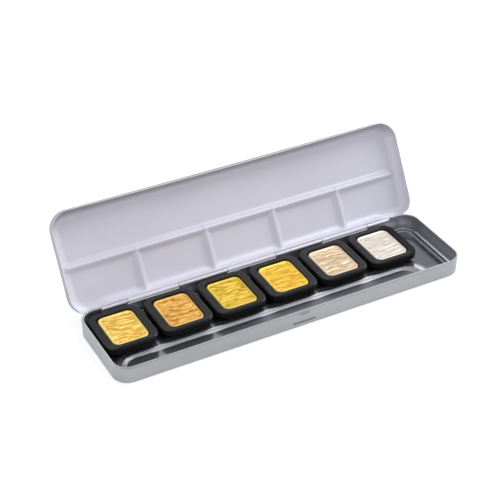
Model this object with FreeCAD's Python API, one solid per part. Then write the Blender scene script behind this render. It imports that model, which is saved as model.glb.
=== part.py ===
import FreeCAD, Part
import math
import os

os.makedirs("parts", exist_ok=True)

# Paint box, open. Lengths in millimetres, angles in degrees.
# X runs along the box, Y from the front to the hinge, Z up.
# X = Y = 0 is the middle of the base and Z = 0 its underside.

# Tinplate of the base and the lid
sheet = 0.3

# Base tray
base_length = 217.0
base_width = 56.0
base_height = 11.0
base_corner_radius = 9.3
base_foot_radius = 1.5
bead_radius = 0.65
bead_proud = 0.15

# Pressed floor: a raised plateau with a bay in front of the pans where a brush lies
plateau_rise = 1.5
plateau_margin = 3.0
plateau_slope = 1.0
plateau_edge_radius = 0.4
bay_left_gap = 7.5
bay_right_gap = 21.7
bay_pan_gap = 1.6
bay_slope = 2.2
bay_corner_radius = 10.0
arm_radius = 1.2

# Catch pressed out of the front wall, and the detent pressed into it above the catch
catch_offset = 2.75
catch_width = 14.5
catch_ledge = 4.7
catch_height = 1.8
catch_lip = 0.4
catch_proud = 0.65
catch_end_run = 1.2
detent_width = 6.2
detent_low = 7.8
detent_height = 1.7
detent_depth = 0.4
detent_run = 0.5

# Hinge: seven knuckles on one wire
pin_radius = 0.9
pin_clearance = 0.05
hinge_drop = 2.3
hinge_offset = 0.33
hinge_end_gap = 14.5
hinge_end_knuckle = 16.0
inner_knuckle_count = 5
knuckle_gap = 0.4
swing_clearance = 0.35
pin_end_inset = 0.6

# Lid, drawn closed and then swung open
lid_gap = 1.9
lid_back_gap = 1.15
lid_overlap = 4.4
lid_depth = 8.7
lid_top_radius = 4.9
hem_thickness = 0.65
hem_height = 1.6
hem_edge_radius = 0.25
lid_back_rise = 0.45
lid_trim_gap = 1.0
lid_trim_run = 1.5
lid_open_angle = 119.3

# Ridges pressed into the lid that part it into mixing wells
ridge_width = 6.5
ridge_height = 2.2
ridge_crest = 1.2
ridge_wall_gap = 2.0
ridge_offset = 2.15
well_count = 5
ridge_round_share = 0.9

# Paint pans
pan_count = 6
pan_left_gap = 3.3
pan_right_gap = 17.2
pan_back_gap = 1.7
pan_front_gap = 18.7
pan_gap = 2.1
pan_drop = 2.0
flange_radius = 7.5
flange_plate = 1.0
flange_edge_radius = 1.2
flange_side_rim = 4.4
flange_end_rim = 3.8
skirt_height = 3.4
skirt_wall = 1.0
well_radius = 4.0
pan_wall = 1.2
pan_floor = 1.0
pan_draft = 0.8

# Paint cakes
paint_drop = 0.8
paint_gap = 0.2
paint_edge_radius = 0.4

# Adhesive pads under the pans
pad_width = 17.0
pad_length = 22.0
pad_thickness = 0.6
pad_radius = 3.0

# Working values
cut_overrun = 5.0
level_match = 0.001
corner_count = 4

half_length = base_length / 2
half_width = base_width / 2
wall_top = base_height - bead_radius
plateau_top = sheet + plateau_rise
axis_y = half_width + hinge_offset
axis_z = base_height - hinge_drop
bore_radius = pin_radius + pin_clearance
barrel_radius = bore_radius + sheet
hinge_half = half_length - hinge_end_gap
lid_half_length = half_length + lid_gap
lid_front = half_width + lid_gap
lid_back = half_width + lid_back_gap
lid_rim = base_height - lid_overlap
lid_top = lid_rim + lid_depth
lid_corner_radius = base_corner_radius + lid_gap


def vec(x, y, z):
    return FreeCAD.Vector(x, y, z)


along_x = vec(1, 0, 0)


def rectangle(x_low, x_high, y_low, y_high):
    return [(x_low, y_low), (x_high, y_low), (x_high, y_high), (x_low, y_high)]


def centred(width, length):
    return rectangle(-width / 2, width / 2, -length / 2, length / 2)


def outline(corners, radii, level):
    """Closed level wire through the corners, each corner rounded by its radius."""
    count = len(corners)
    starts = []
    middles = []
    ends = []
    for index in range(count):
        here = vec(*corners[index], level)
        to_before = (vec(*corners[index - 1], level) - here).normalize()
        to_after = (vec(*corners[(index + 1) % count], level) - here).normalize()
        half_turn = to_before.getAngle(to_after) / 2
        inward = (to_before + to_after).normalize()
        reach = radii[index] / math.tan(half_turn)
        depth = radii[index] / math.sin(half_turn) - radii[index]
        starts.append(here + to_before * reach)
        middles.append(here + inward * depth)
        ends.append(here + to_after * reach)
    edges = []
    for index in range(count):
        edges.append(Part.Arc(starts[index], middles[index], ends[index]).toShape())
        edges.append(Part.LineSegment(ends[index], starts[(index + 1) % count]).toShape())
    return Part.Wire(edges)


def block(corners, radius, low, high):
    """Upright solid on a rectangle with one corner radius."""
    base = Part.Face(outline(corners, [radius] * len(corners), low))
    return base.extrude(vec(0, 0, high - low))


def taper(low_corners, low_radii, low, high_corners, high_radii, high):
    """Solid between two level outlines of the same make."""
    wires = [outline(low_corners, low_radii, low), outline(high_corners, high_radii, high)]
    return Part.makeLoft(wires, True, True)


def box(x_low, x_high, y_low, y_high, z_low, z_high):
    return Part.makeBox(x_high - x_low, y_high - y_low, z_high - z_low, vec(x_low, y_low, z_low))


def level_edges(shape, level):
    return [edge for edge in shape.Edges
            if all(abs(corner.Z - level) < level_match for corner in edge.Vertexes)]


def rounded(shape, radius, level):
    return shape.makeFillet(radius, level_edges(shape, level))


def fused(shapes):
    return shapes[0].multiFuse(shapes[1:]).removeSplitter()


def barrel(x_low, x_high, radius):
    return Part.makeCylinder(radius, x_high - x_low, vec(x_low, axis_y, axis_z), along_x)


def save(shape, node):
    solid = shape.Solids[0] if len(shape.Solids) == 1 else shape
    solid.exportStep("parts/" + node + ".step")


# Knuckle ends along the hinge, from left to right
inner_knuckle = (hinge_half - hinge_end_knuckle) * 2 / inner_knuckle_count
knuckle_marks = [-hinge_half]
for index in range(inner_knuckle_count + 1):
    knuckle_marks.append(-hinge_half + hinge_end_knuckle + index * inner_knuckle)
knuckle_marks.append(hinge_half)
knuckles = []
for index in range(len(knuckle_marks) - 1):
    knuckles.append((knuckle_marks[index] + knuckle_gap / 2, knuckle_marks[index + 1] - knuckle_gap / 2))
base_knuckles = knuckles[0::2]
lid_knuckles = knuckles[1::2]
hinge_bore = barrel(-hinge_half - cut_overrun, hinge_half + cut_overrun, bore_radius)


# Pan row
flange_width = (base_length - pan_left_gap - pan_right_gap - pan_gap * (pan_count - 1)) / pan_count
flange_length = base_width - pan_back_gap - pan_front_gap
pan_y = half_width - pan_back_gap - flange_length / 2
pan_top = base_height - pan_drop
pan_bottom = plateau_top + pad_thickness
well_width = flange_width - flange_side_rim * 2
well_length = flange_length - flange_end_rim * 2
foot_width = well_width + (pan_wall - pan_draft) * 2
foot_length = well_length + (pan_wall - pan_draft) * 2
pan_places = []
for index in range(pan_count):
    pan_x = -half_length + pan_left_gap + flange_width / 2 + index * (flange_width + pan_gap)
    pan_places.append(vec(pan_x, pan_y, 0))


# Base tray
def tray_form(inset, low, high):
    corners = rectangle(-half_length + inset, half_length - inset, -half_width + inset, half_width - inset)
    form = block(corners, base_corner_radius - inset, low, high)
    return rounded(form, base_foot_radius - inset, low)


def plateau_outline(grow, bay_shrink):
    """Corners and radii of the plateau, with its edges moved out and its bay closed in."""
    side = half_length - sheet - plateau_margin - plateau_slope + grow
    end = half_width - sheet - plateau_margin - plateau_slope + grow
    left = -half_length + bay_left_gap + bay_shrink
    right = half_length - bay_right_gap - bay_shrink
    back = pan_y - foot_length / 2 - bay_pan_gap - bay_shrink
    corner = base_corner_radius - sheet - plateau_margin - plateau_slope + grow
    bay_corner = bay_corner_radius - bay_shrink
    corners = [(-side, -end), (left, -end), (left, back), (right, back),
               (right, -end), (side, -end), (side, end), (-side, end)]
    radii = [arm_radius, arm_radius, bay_corner, bay_corner, arm_radius, corner, corner, corner]
    return corners, radii


low_corners, low_radii = plateau_outline(plateau_slope, bay_slope)
high_corners, high_radii = plateau_outline(0, 0)
plateau = taper(low_corners, low_radii, sheet, high_corners, high_radii, plateau_top)
plateau = rounded(plateau, plateau_edge_radius, plateau_top)

tray = tray_form(0, 0, wall_top).cut(tray_form(sheet, sheet, wall_top + cut_overrun))
tray = tray.fuse(plateau)
tray = tray.cut(plateau.translated(vec(0, 0, -sheet)))

bead_inset = bead_radius - bead_proud
bead_corners = rectangle(-half_length + bead_inset, half_length - bead_inset,
                         -half_width + bead_inset, half_width - bead_inset)
bead_path = outline(bead_corners, [base_corner_radius - bead_inset] * len(bead_corners), wall_top)
bead_ring = Part.Wire(Part.makeCircle(bead_radius, bead_path.OrderedVertexes[0].Point, vec(0, 1, 0)))
bead = bead_path.makePipeShell([bead_ring], True, False)


def on_front(y, half_run, low, high):
    """Upright rectangle in the plane of the front wall, about the middle of the catch."""
    points = [vec(catch_offset - half_run, y, low), vec(catch_offset + half_run, y, low),
              vec(catch_offset + half_run, y, high), vec(catch_offset - half_run, y, high)]
    return Part.makePolygon(points + points[:1])


def catch_form(inset):
    """Wedge on the front wall with a level ledge below, moved in by the inset."""
    face_y = -half_width + inset
    foot = on_front(face_y, catch_width / 2, catch_ledge, catch_ledge + catch_height)
    lip = on_front(face_y - catch_proud, catch_width / 2 - catch_end_run,
                   catch_ledge, catch_ledge + catch_lip)
    return Part.makeLoft([foot, lip], True, True)


def detent_form(inset):
    """Shallow pocket in the front wall with sloped sides, moved in by the inset."""
    face_y = -half_width + inset
    mouth = on_front(face_y, detent_width / 2, detent_low, detent_low + detent_height)
    floor = on_front(face_y + detent_depth, detent_width / 2 - detent_run,
                     detent_low + detent_run, detent_low + detent_height - detent_run)
    return Part.makeLoft([mouth, floor], True, True)


tray = tray.fuse(catch_form(0)).cut(catch_form(sheet))
tray = tray.fuse(detent_form(sheet)).cut(detent_form(0))
tray = fused([tray, bead])

notch_floor = axis_z - barrel_radius - swing_clearance
notch = box(-hinge_half, hinge_half, half_width - bead_radius * 2, half_width + cut_overrun,
            notch_floor, base_height + cut_overrun)
tray = tray.cut(notch)
base_leaves = []
for low, high in base_knuckles:
    leaf = box(low, high, half_width - sheet, half_width, notch_floor - sheet, axis_z)
    base_leaves.append(barrel(low, high, barrel_radius).fuse(leaf))
tray = fused([tray] + base_leaves).cut(hinge_bore)
save(tray, "base_tray")


# Hinge wire
save(barrel(-hinge_half + pin_end_inset, hinge_half - pin_end_inset, pin_radius), "hinge_pin")


# Lid
def lid_block(inset, low, high):
    corners = rectangle(-lid_half_length + inset, lid_half_length - inset,
                        -lid_front + inset, lid_back - inset)
    return block(corners, lid_corner_radius - inset, low, high)


def lid_form(inset, low, high):
    return rounded(lid_block(inset, low, high), lid_top_radius - inset, high)


lid_floor = lid_top - sheet


def ridge(x_low, x_high, y_low, y_high):
    """Pressed ridge with sloped sides and ends, standing down from the lid's floor."""
    side = (ridge_width - ridge_crest) / 2
    crest = rectangle(x_low + side, x_high - side, y_low + side, y_high - side)
    foot = rectangle(x_low, x_high, y_low, y_high)
    crest_radii = [ridge_crest / 2 * ridge_round_share] * len(crest)
    foot_radii = [ridge_width / 2 * ridge_round_share] * len(foot)
    return taper(crest, crest_radii, lid_floor - ridge_height, foot, foot_radii, lid_floor)


ridge_reach = lid_half_length - sheet - ridge_wall_gap
ridge_back = lid_back - sheet - ridge_wall_gap
ridges = [ridge(-ridge_reach, ridge_reach, ridge_offset - ridge_width / 2, ridge_offset + ridge_width / 2)]
ridge_pitch = base_length / well_count
for index in range(well_count - 1):
    ridge_x = (index + 1 - well_count / 2) * ridge_pitch
    ridges.append(ridge(ridge_x - ridge_width / 2, ridge_x + ridge_width / 2,
                        ridge_offset - ridge_width / 2, ridge_back))
pressed = fused(ridges)

cavity = lid_form(sheet, lid_rim - cut_overrun, lid_floor).cut(pressed)
hem = lid_block(sheet / 2, lid_rim, lid_rim + hem_height)
hem = hem.cut(lid_block(hem_thickness, lid_rim - cut_overrun, lid_top))
lid = lid_form(0, lid_rim, lid_top).cut(cavity).cut(pressed.translated(vec(0, 0, sheet)))
lid = rounded(fused([lid, hem]), hem_edge_radius, lid_rim)

back_edge = axis_z + lid_back_rise
trim_y = half_width - lid_trim_gap
trim_points = [vec(-lid_half_length - cut_overrun, y, z) for y, z in (
    (trim_y - lid_trim_run, lid_rim - level_match), (trim_y, back_edge),
    (lid_back + cut_overrun, back_edge), (lid_back + cut_overrun, lid_rim - level_match))]
trim = Part.Face(Part.makePolygon(trim_points + trim_points[:1]))
lid = lid.cut(trim.extrude(along_x * (lid_half_length + cut_overrun) * 2))
skirt_edge = axis_z + barrel_radius + swing_clearance
lid = lid.cut(box(-hinge_half, hinge_half, lid_back - hem_thickness - sheet,
                  lid_back + cut_overrun, lid_rim - cut_overrun, skirt_edge))
lid_leaves = []
for low, high in lid_knuckles:
    leaf = box(low, high, lid_back - sheet, lid_back, axis_z, skirt_edge + sheet)
    lid_leaves.append(barrel(low, high, barrel_radius).fuse(leaf))
lid = fused([lid] + lid_leaves).cut(hinge_bore)
lid.rotate(vec(0, axis_y, axis_z), along_x, -lid_open_angle)
save(lid, "lid_shell")


# Pans, paint cakes and pads, each drawn in the middle and put in its place
flange = block(centred(flange_width, flange_length), flange_radius, pan_top - skirt_height, pan_top)
flange = rounded(flange, flange_edge_radius, pan_top)
hollow = block(centred(flange_width - skirt_wall * 2, flange_length - skirt_wall * 2),
               flange_radius - skirt_wall, pan_top - skirt_height - cut_overrun, pan_top - flange_plate)
pan_radius = well_radius + pan_wall
body = taper(centred(foot_width, foot_length), [pan_radius - pan_draft] * corner_count, pan_bottom,
             centred(well_width + pan_wall * 2, well_length + pan_wall * 2), [pan_radius] * corner_count,
             pan_top - flange_plate / 2)


def well_form(inset):
    low = centred(well_width - (pan_draft + inset) * 2, well_length - (pan_draft + inset) * 2)
    high = centred(well_width - inset * 2, well_length - inset * 2)
    return taper(low, [well_radius - pan_draft - inset] * corner_count, pan_bottom + pan_floor,
                 high, [well_radius - inset] * corner_count, pan_top)


pan = fused([flange.cut(hollow), body]).cut(well_form(0))
cake = well_form(paint_gap)
paint_top = pan_top - paint_drop
cake = cake.cut(box(-flange_width, flange_width, -flange_length, flange_length,
                    paint_top, pan_top + cut_overrun))
cake = rounded(cake, paint_edge_radius, paint_top)
pad = block(centred(pad_width, pad_length), pad_radius, plateau_top, pan_bottom)
for index in range(pan_count):
    number = str(index + 1)
    save(pan.translated(pan_places[index]), "pan_" + number)
    save(cake.translated(pan_places[index]), "paint_" + number)
    save(pad.translated(pan_places[index]), "pad_" + number)
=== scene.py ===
import math

import bpy
import numpy as np
from mathutils import Matrix, Vector


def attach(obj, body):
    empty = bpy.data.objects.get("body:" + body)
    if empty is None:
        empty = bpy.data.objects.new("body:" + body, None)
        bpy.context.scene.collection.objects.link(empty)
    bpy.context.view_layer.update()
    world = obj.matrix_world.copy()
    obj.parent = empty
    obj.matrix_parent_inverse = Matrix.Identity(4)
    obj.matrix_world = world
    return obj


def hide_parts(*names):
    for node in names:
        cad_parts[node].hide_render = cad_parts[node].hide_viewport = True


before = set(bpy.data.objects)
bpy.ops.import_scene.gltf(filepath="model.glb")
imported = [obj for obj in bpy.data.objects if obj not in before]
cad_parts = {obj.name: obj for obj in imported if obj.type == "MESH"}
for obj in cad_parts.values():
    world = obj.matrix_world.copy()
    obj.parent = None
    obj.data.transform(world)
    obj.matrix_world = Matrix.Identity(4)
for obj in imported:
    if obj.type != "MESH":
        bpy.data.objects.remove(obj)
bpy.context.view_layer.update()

# Sizes are millimetres in the frame's axes: X along the box, Y towards the hinge, Z up.
# They follow the solids, apart from the ridges, the cakes, the slot and the lid's slopes, which follow
# the photo where it shows more than the solids have.
MM = 0.001
SHEET = 0.3
SAME_PLACE = 1e-6
QUARTER = math.pi / 2

# Base tray: wall, rolled rim and raised floor
BASE_HALF = (108.5, 28.0)
BASE_CORNER = 9.3
BASE_FOOT = 1.5
BASE_HEIGHT = 11.0
BEAD = 0.65
BEAD_PROUD = 0.15
BACK_KNEE = 5.0
PLATEAU_RISE = 1.5
PLATEAU_INSET = 3.8
PLATEAU_SOFT = 0.75
LIP = 0.13
LIP_INSET = 5.3
LIP_WIDTH = 0.5

# Brush bay in the raised floor
BAY_ENDS = (-99.9, 85.7)
BAY_BACK = -8.6
BAY_CORNER = 8.9
BAY_SOFT = 1.35

# Catch on the front wall, with the slot under it and the detent over it
CATCH_X = 2.75
CATCH_WIDTH = 14.5
CATCH_LEDGE = 4.7
CATCH_LEDGE_RUN = 0.02
CATCH_LIP = 0.4
CATCH_TOP = 6.5
CATCH_PROUD = 0.62
CATCH_END = 1.2
SLOT_FOOT = 2.6
SLOT_RUN = 0.25
SLOT_DEPTH = 0.28
SLOT_END = 0.5
DETENT_WIDTH = 6.2
DETENT_LEVELS = (7.8, 9.5)
DETENT_DEPTH = 0.4
DETENT_RUN = 0.5

# Tin of the base: its burnished tin and painted reflection, roughness, painted light and painted shade,
# from 0 to 1, and where that lies
WALL_REFLECTION = 0.54
FOOT_REFLECTION = 1.0
BACK_FOOT_REFLECTION = 0.15
BACK_FOOT_FROM = 20.0
SLOPE_REFLECTION = 0.22
FLOOR_REFLECTION = 0.42
# The bay's floor is dimmed to this towards its right, a painted reflection
DIMMED_FLOOR_REFLECTION = 0.05
MARGIN_REFLECTION = 0.8
MARGIN_REACH = 6.0
MARGIN_FADE = 3.0
WALL_WEAR = 0.7
FOOT_WEAR = 0.3
SLOPE_WEAR = 0.8
SCUFFED_WEAR = 0.95
EDGE_WEAR = 0.4
EDGE_INSET = 0.8
EDGE_WIDTH = 0.9
EDGE_FADE = 1.0
SLOPE_OVERLAP = 0.25
BAY_FADE = 0.5
BAY_SCUFF_AND_DIMMING = (-62.0, 6.0)
# Painted light at the left end of the rim and outer wall, and a painted highlight line along the rim there
WALL_LEFT_LIGHT = 0.1
RIM_LEFT_LIGHT = 0.28
RIM_HIGHLIGHT_LINE = 0.6
RIM_LINE_RING = 8
RIM_LINE_WIDTH = 1.6
LEFT_LIGHT_FALL = 4
# Painted shade in the slot and the detent: the pressed depth at which it is full, and how dark it is in
# each
FULL_SHADE_DEPTH = 0.2
SLOT_SHADE = 0.6
DETENT_SHADE = 0.35

# Hinge: its axis as (Y, Z), its knuckles, and how each sheet's edge meets its own and the other's
AXIS = (28.33, 8.7)
HINGE_HALF = 94.0
END_KNUCKLE = 16.0
INNER_KNUCKLES = 5
KNUCKLE_GAP = 0.4
KNUCKLE_SIDES = 32
BARREL = 1.25
BASE_LAP = 0.3
BASE_SWING = 0.35
LID_LAP = 0.9
LID_SWING = 0.15

# Lid: its wall, its hem and its trimmed back corners
LID_HALF = (110.4, 29.525)
LID_MID = -0.375
LID_CORNER = 11.2
LID_TOP = 15.3
LID_DEPTH = 8.7
LID_ROUND = 4.9
LID_RUN = 7.0
LID_INSIDE_CURVE = 1.15
LID_OUTSIDE_CURVE = 0.77
LID_LEDGE = 2.2
LID_LEDGE_FADE = 6.0
LID_BOW = 0.8
LID_BACK_EDGE = 9.15
LID_TRIM = (25.5, 27.0)
LID_OPEN = 119.3
LID_WALL_SHARES = (0.5, 0.96)
HEM = 0.65
HEM_HEIGHT = 1.6
HEM_EASE = (0.04, 0.06)
HEM_EDGE = 0.22
TRIMMED_FOLD = 0.6
FOLD_STAND = 0.12

# Ridges pressed into the lid: one long one and the short ones behind it
RIDGE_Y = 2.28
RIDGE_HALF = 3.0
RIDGE_SOFT = 0.75
RIDGE_RISE = 3.0
RIDGE_END = 104.6
RIDGE_BACK = 25.0
RIDGE_X = (-64.4, -21.0, 22.4, 65.8)
RIDGE_MEET = 5.0
RIDGE_BLEND = 2.5

# Enamel of the lid: its painted shade under the hem and at the fold, and its painted light on the end
# walls, from 0 to 1, by the share of the way up the slope
HEM_SHADE = 0.75
HEM_SHADE_FROM = 0.25
HEM_SHADE_RUN = 0.45
FOLD_SHADE = 0.8
# Painted light on the lid's end walls: where it starts up the slope at each end, and how far it runs
END_LIGHT_FROM_LEFT = -0.05
END_LIGHT_FROM_RIGHT = 0.3
END_LIGHT_RUN = 0.35

# Pans: the middles of their wells, and where their plastic is polished or matt
PAN_FIRST_X = -89.7
PAN_PITCH = 33.1
PAN_COUNT = 6
PAN_X = tuple(PAN_FIRST_X + PAN_PITCH * index for index in range(PAN_COUNT))
PAN_Y = 8.5
PAN_POLISHED_Z = (8.3, 8.9)
PAN_POLISHED_Y = (-7.8, -7.0)
PAN_MATT_X = (82.0, 88.0)

# Paint cakes; the furrows of each have a lean (a ratio), a depth, a warp and a crumple (both shares)
CAKE_HALF = (10.58, 13.1)
CAKE_TAPER = 0.68
CAKE_SHIFT = (0.35, 0.45)
CAKE_CORNER = 3.72
CAKE_EDGE = 0.55
CAKE_LEVELS = (3.4, 8.1)
CAKE_WALL_SHARES = (0.33, 0.66, 1.0)
CAKE_DISH = 0.35
CAKE_DISH_RUN = (0.3, 1.3)
FURROW_PITCH = 4.0
FURROW_RUN = (0.2, 1.6)
FURROW_SHIFT = 3.7
FURROW_START = 0.4
FURROW_MEAN = 0.62
FURROWS = (
    (0.22, 0.78, 3.4, 1.05),
    (0.26, 0.82, 3.6, 1.05),
    (0.28, 0.6, 3.2, 1.05),
    (0.14, 0.2, 4.6, 1.7),
    (0.04, 0.34, 3.6, 1.45),
    (-0.12, 0.18, 3.8, 1.6),
)

# Grids: a pair is the place where a spacing starts and that spacing
BASE_END_SPACING = 0.45
BASE_COLUMNS = ((-96.0, 1.7), (81.0, 0.5), (90.0, 1.2), (96.0, 0.45))
BASE_FRONT_SPACING = 0.5
BASE_BACK_ROWS = (-4.0, 1.3)
CATCH_SPACING = 0.3
WALL_LEVELS = (1.5, 2.2, 3.7, 4.2, 5.6, 6.1, 7.1)
LID_END_SPACING = 0.6
LID_END_FROM = 98.0
LID_SPACING = 2.0
LID_BACK_SPACING = 0.8
LID_WELL_ROWS = (-18.0, 1.5)
LID_FRONT_SPACING = 1.3
RIDGE_ZONE = 4.2
RIDGE_SPACING = 0.45
LONG_RIDGE_ZONE = 4.5
LONG_RIDGE_SPACING = 0.42
CAKE_SPACING = 0.3
CORNER_ROWS = 18
CAKE_CORNER_ROWS = 12
FOOT_RINGS = 5
BEAD_RINGS = 17
HEM_RINGS = 7
HEM_ENAMELLED = 6
SLOPE_RINGS = 12
CAKE_EDGE_RINGS = 6
RING_GAP = 0.02
ROW_GAP = 0.05
COLUMN_GAP = 0.03
COLUMN_SHARE_GAP = 0.0004

# Camera, fitted to the photo's edges: degrees, millimetres and pixels
CAMERA_AZIMUTH = -28.157
CAMERA_ELEVATION = 34.511
CAMERA_ROLL = -0.195
CAMERA_DISTANCE = 784.1
CAMERA_ASIDE = -14.361
CAMERA_ABOVE = 28.549
CAMERA_SENSOR = 36.0
CAMERA_CLIP = (50.0, 20000.0)
FOCAL_PIXELS = 1389.51
PHOTO_PIXELS = 500

# Studio: strengths of the light, and the floor's half side
SKY_LIGHT = 0.62
SKY_SEEN = 1.0
FLOOR_GLOW = 0.54
FLOOR_HALF = 4000.0

# Range of nearly all of a noise's values, and a wider one that gives less contrast
MOST_NOISE = (0.3, 0.7)
WIDE_NOISE = (0.25, 0.75)


class Value:
    """A socket of a node tree that Python's operators can work on."""

    def __init__(self, finish, socket):
        self.finish = finish
        self.socket = socket

    def worked_out(self, operation, first, second):
        return self.finish.node("ShaderNodeMath", {"operation": operation}, {0: first, 1: second})

    def __add__(self, other):
        return self.worked_out("ADD", self, other)

    def __sub__(self, other):
        return self.worked_out("SUBTRACT", self, other)

    def __rsub__(self, other):
        return self.worked_out("SUBTRACT", other, self)

    def __mul__(self, other):
        return self.worked_out("MULTIPLY", self, other)


class Finish:
    """A node tree that is written as Python expressions."""

    def __init__(self, tree):
        self.tree = tree
        tree.nodes.clear()

    def node(self, kind, settings=None, inputs=None, output=0):
        """Value of one output of a new node with these settings and inputs."""
        made = self.tree.nodes.new(kind)
        for key, value in (settings or {}).items():
            setattr(made, key, value)
        for key, value in (inputs or {}).items():
            if isinstance(value, Value):
                self.tree.links.new(value.socket, made.inputs[key])
            else:
                made.inputs[key].default_value = value
        return Value(self, made.outputs[output]) if made.outputs else None

    def outputs(self, kind, names, inputs=None):
        """Values of several outputs of one new node."""
        made = self.node(kind, None, inputs).socket.node
        return [Value(self, made.outputs[name]) for name in names]

    def carried(self, name):
        """What the points of the mesh carry under that name."""
        return self.node("ShaderNodeAttribute", {"attribute_name": name}, output="Fac")

    def place(self, scale):
        """Object coordinates in millimetres, stretched by the scale."""
        where = self.node("ShaderNodeTexCoord", output="Object")
        factor = tuple(part / MM for part in scale)
        return self.node("ShaderNodeMapping", {"vector_type": "POINT"}, {"Vector": where, "Scale": factor})

    def noise(self, scale, detail):
        """Noise with that many grains to a millimetre along each axis."""
        return self.node("ShaderNodeTexNoise", {"noise_dimensions": "3D"},
                         {"Vector": self.place(scale), "Scale": 1.0, "Detail": detail})

    def ramp(self, value, low, high, start=0.0, end=1.0):
        """Smooth passage from start to end while the value goes from low to high."""
        limits = {"From Min": low, "From Max": high, "To Min": start, "To Max": end}
        return self.node("ShaderNodeMapRange", {"interpolation_type": "SMOOTHSTEP"},
                         {"Value": value, **limits})

    def mix(self, factor, first, second):
        return self.node("ShaderNodeMix", {"data_type": "RGBA"}, {0: factor, 6: first, 7: second}, 2)

    def tone(self, noise, dark, light):
        """Colour that goes from dark to light with a noise."""
        return self.mix(self.ramp(noise, *MOST_NOISE), dark, light)

    def bump(self, height, strength, distance):
        return self.node("ShaderNodeBump", None,
                         {"Height": height, "Strength": strength, "Distance": distance * MM})


def rgb(red, green, blue):
    return (red, green, blue, 1.0)


def finish_of(name, make, fixed):
    """Material whose varying sockets come from make and whose even ones from fixed."""
    material = bpy.data.materials.new(name)
    material.use_nodes = True
    finish = Finish(material.node_tree)
    inputs = dict(fixed)
    inputs.update(make(finish))
    shader = finish.node("ShaderNodeBsdfPrincipled", None, inputs)
    finish.node("ShaderNodeOutputMaterial", None, {"Surface": shader})
    return material


def satin_tin(finish):
    """Tin of the tray's outside, rolled lengthwise, with painted light at its left end and painted shade
    in the slot and detent pressed into it.
    """
    rolled = finish.noise((0.05, 2.2, 2.2), 4.0)
    cloud = finish.noise((0.04, 0.08, 0.08), 2.0)
    plain = finish.tone(rolled * 0.5 + cloud * 0.5, rgb(0.318, 0.328, 0.339), rgb(0.366, 0.375, 0.39))
    # Painted light: brighter tin towards the left end
    bright = finish.mix(finish.carried("painted_left_light"), plain, rgb(0.82, 0.82, 0.83))
    return {
        # Painted shade darkens the slot and the detent
        "Base Color": finish.mix(finish.carried("painted_recess_shade"), bright, rgb(0.05, 0.05, 0.055)),
        "Roughness": finish.ramp(rolled, *WIDE_NOISE, 0.38, 0.5),
        "Normal": finish.bump(rolled, 0.12, 0.02),
    }


def rim_tin(finish):
    """Tin of the rolled rim, with painted light at the left end and a painted highlight line along it."""
    rolled = finish.noise((0.08, 1.2, 1.2), 3.0)
    plain = finish.tone(rolled, rgb(0.29, 0.298, 0.315), rgb(0.33, 0.338, 0.355))
    return {
        "Base Color": finish.mix(finish.carried("painted_left_light"), plain, rgb(0.82, 0.83, 0.85)),
        "Roughness": finish.ramp(rolled, *MOST_NOISE, 0.46, 0.56),
        "Normal": finish.bump(rolled, 0.1, 0.02),
    }


def bright_tin(finish):
    """Tin of the tray's inside: dark on its flats and bright where it was drawn, as burnished tin and
    painted reflection; rough where it is worn.
    """
    rolled = finish.noise((0.03, 1.4, 1.4), 4.0)
    cloud = finish.noise((0.05, 0.05, 0.05), 2.0)
    mottle = rolled * 0.4 + cloud * 0.6
    dull = finish.tone(mottle, rgb(0.135, 0.138, 0.165), rgb(0.175, 0.178, 0.205))
    bright = finish.tone(mottle, rgb(0.8, 0.81, 0.86), rgb(0.88, 0.89, 0.94))
    return {
        # Dark flats and bright places: burnished tin and painted reflections of the lid and the pans
        "Base Color": finish.mix(finish.carried("burnish_and_reflection"), dull, bright),
        "Roughness": finish.ramp(rolled, *WIDE_NOISE, 0.12, 0.2) + finish.carried("worn") * 0.32,
        "Normal": finish.bump(rolled, 0.06, 0.02),
    }


def rolled_tin(finish):
    """Tin of the base's knuckles."""
    grain = finish.noise((0.3, 3.0, 3.0), 3.0)
    return {
        "Base Color": finish.tone(grain, rgb(0.455, 0.455, 0.485), rgb(0.53, 0.53, 0.56)),
        "Roughness": finish.ramp(grain, *MOST_NOISE, 0.44, 0.54),
        "Normal": finish.bump(grain, 0.1, 0.02),
    }


def white_enamel(finish):
    """White of the lid, with painted shade under the hem and along the fold, and painted light on its end
    walls.
    """
    peel = finish.noise((0.9, 0.9, 0.9), 2.0)
    cloud = finish.noise((0.03, 0.03, 0.03), 3.0)
    white = finish.tone(cloud, rgb(0.697, 0.685, 0.785), rgb(0.727, 0.715, 0.815))
    # Painted light: whiter on the end walls
    lit_white = finish.mix(finish.carried("painted_end_light"), white, rgb(0.82, 0.81, 0.9))
    return {
        # Painted shade under the hem and along the fold
        "Base Color": finish.mix(finish.carried("painted_hem_shade"), lit_white, rgb(0.27, 0.26, 0.28)),
        "Roughness": finish.ramp(cloud * 0.6 + peel * 0.4, *MOST_NOISE, 0.3, 0.4),
        "Normal": finish.bump(peel, 0.06, 0.03),
    }


def black_plastic(finish):
    """Black of the pans: polished on top, matt on their skirts, front edges and the last right flange."""
    grain = finish.noise((2.4, 2.4, 2.4), 3.0)
    cloud = finish.noise((0.08, 0.08, 0.08), 3.0)
    x, y, z = finish.outputs("ShaderNodeSeparateXYZ", "XYZ", {"Vector": finish.place((1.0, 1.0, 1.0))})
    on_top = finish.ramp(z, *PAN_POLISHED_Z) * finish.ramp(y, *PAN_POLISHED_Y)
    polish = on_top * (1.0 - finish.ramp(x, *PAN_MATT_X) * 0.9)
    return {
        "Base Color": finish.tone(cloud, rgb(0.011, 0.011, 0.0115), rgb(0.014, 0.014, 0.0145)),
        "Roughness": finish.ramp(grain * 0.5 + cloud * 0.5, *MOST_NOISE, 0.36, 0.5),
        "Coat Weight": polish * 0.76,
        "Normal": finish.bump(grain, 0.12, 0.02),
    }


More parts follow.
